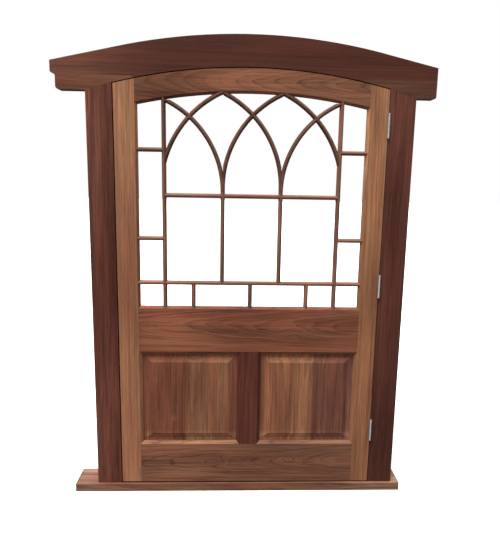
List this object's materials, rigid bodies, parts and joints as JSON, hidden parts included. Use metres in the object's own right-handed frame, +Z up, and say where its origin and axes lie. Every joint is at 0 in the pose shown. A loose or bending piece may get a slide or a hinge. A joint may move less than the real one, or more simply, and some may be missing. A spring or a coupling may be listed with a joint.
{
  "type": "arched door in its frame",
  "caption": "Side-hung arched timber door with raised lower panels and a barred gothic upper light, hung on butt hinges in a rebated timber frame with a sill.",
  "frame": {"origin": "on the sill's underside, under the leaf's centre line, in the plane of the leaf's front face", "axes": "+Z up, +X to the hinge side, the front of the door faces -Y"},
  "size_m": [1.808, 0.1547, 2.2914],
  "materials": {
    "sill_wood": "oiled hardwood, weathered, open grain",
    "left_jamb_wood": "oiled hardwood, weathered, open grain",
    "right_jamb_wood": "oiled hardwood, weathered, open grain",
    "head_wood": "oiled hardwood, weathered, open grain",
    "stile_wood": "oiled hardwood, weathered, open grain",
    "top_rail_wood": "oiled hardwood, weathered, open grain",
    "lock_rail_wood": "oiled hardwood, weathered, open grain",
    "bottom_rail_wood": "oiled hardwood, weathered, open grain",
    "muntin_wood": "oiled hardwood, weathered, open grain",
    "panel_wood": "oiled hardwood, weathered, open grain",
    "wedge_wood": "oiled hardwood, weathered, open grain",
    "bar_wood": "oiled hardwood, weathered, open grain",
    "hinge_steel": "dull bare steel"
  },
  "bodies": {
    "frame": {"sill": "sill_wood", "left_jamb": "left_jamb_wood", "right_jamb": "right_jamb_wood", "arched_head": "head_wood", "left_shoulder_block": "head_wood", "right_shoulder_block": "head_wood", "top_hinge_jamb_leaf": "hinge_steel", "top_hinge_pin": "hinge_steel", "middle_hinge_jamb_leaf": "hinge_steel", "middle_hinge_pin": "hinge_steel", "bottom_hinge_jamb_leaf": "hinge_steel", "bottom_hinge_pin": "hinge_steel", "jamb_screws": "hinge_steel"},
    "leaf": {"lock_stile": "stile_wood", "hinge_stile": "stile_wood", "top_rail": "top_rail_wood", "lock_rail": "lock_rail_wood", "bottom_rail": "bottom_rail_wood", "muntin": "muntin_wood", "left_panel_outer": "panel_wood", "left_panel_inner": "panel_wood", "right_panel_inner": "panel_wood", "right_panel_outer": "panel_wood", "lock_side_wedges": "wedge_wood", "hinge_side_wedges": "wedge_wood", "left_post": "bar_wood", "right_post": "bar_wood", "transom": "bar_wood", "lower_bar": "bar_wood", "left_mullion": "bar_wood", "right_mullion": "bar_wood", "upper_left_side_bar": "bar_wood", "upper_right_side_bar": "bar_wood", "lower_left_side_bar": "bar_wood", "lower_right_side_bar": "bar_wood", "left_short_bar": "bar_wood", "middle_short_bar": "bar_wood", "right_short_bar": "bar_wood", "post_arc_left": "bar_wood", "side_arc_left": "bar_wood", "middle_arc_left": "bar_wood", "middle_arc_right": "bar_wood", "side_arc_right": "bar_wood", "post_arc_right": "bar_wood", "top_hinge_door_leaf": "hinge_steel", "middle_hinge_door_leaf": "hinge_steel", "bottom_hinge_door_leaf": "hinge_steel", "door_screws": "hinge_steel"}
  },
  "joints": [
    {"name": "leaf_swing", "type": "hinge", "parent": "frame", "child": "leaf", "pos_m": [0.65125, -0.0065, 0], "axis": [0, 0, 1], "range_deg": [0, 175]}
  ]
}
